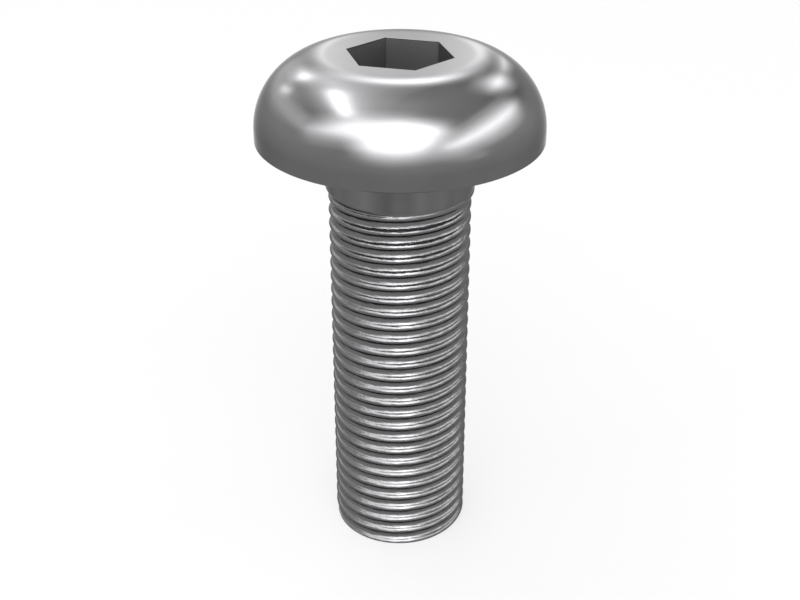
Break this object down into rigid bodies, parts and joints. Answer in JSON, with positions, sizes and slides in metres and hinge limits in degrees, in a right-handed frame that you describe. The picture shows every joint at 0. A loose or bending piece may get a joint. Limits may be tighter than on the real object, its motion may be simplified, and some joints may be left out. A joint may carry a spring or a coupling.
{
  "type": "pan head screw with hexagon socket",
  "caption": "Pan head machine screw with a rounded head, a hexagon socket, a smooth neck and a fine-threaded shank with a flat end.",
  "frame": {"origin": "centre of the bearing face under the head", "axes": "+Z along the screw's axis towards the top of the head, -Z towards the flat end of the threaded shank; a corner of the hexagon socket lies 15 degrees from +X towards -Y"},
  "size_m": [0.0094, 0.0094, 0.0177],
  "materials": {
    "steel": "bright tumbled stainless steel, smooth and fairly glossy"
  },
  "bodies": {
    "root": {"pan_head_screw": "steel"}
  },
  "joints": []
}
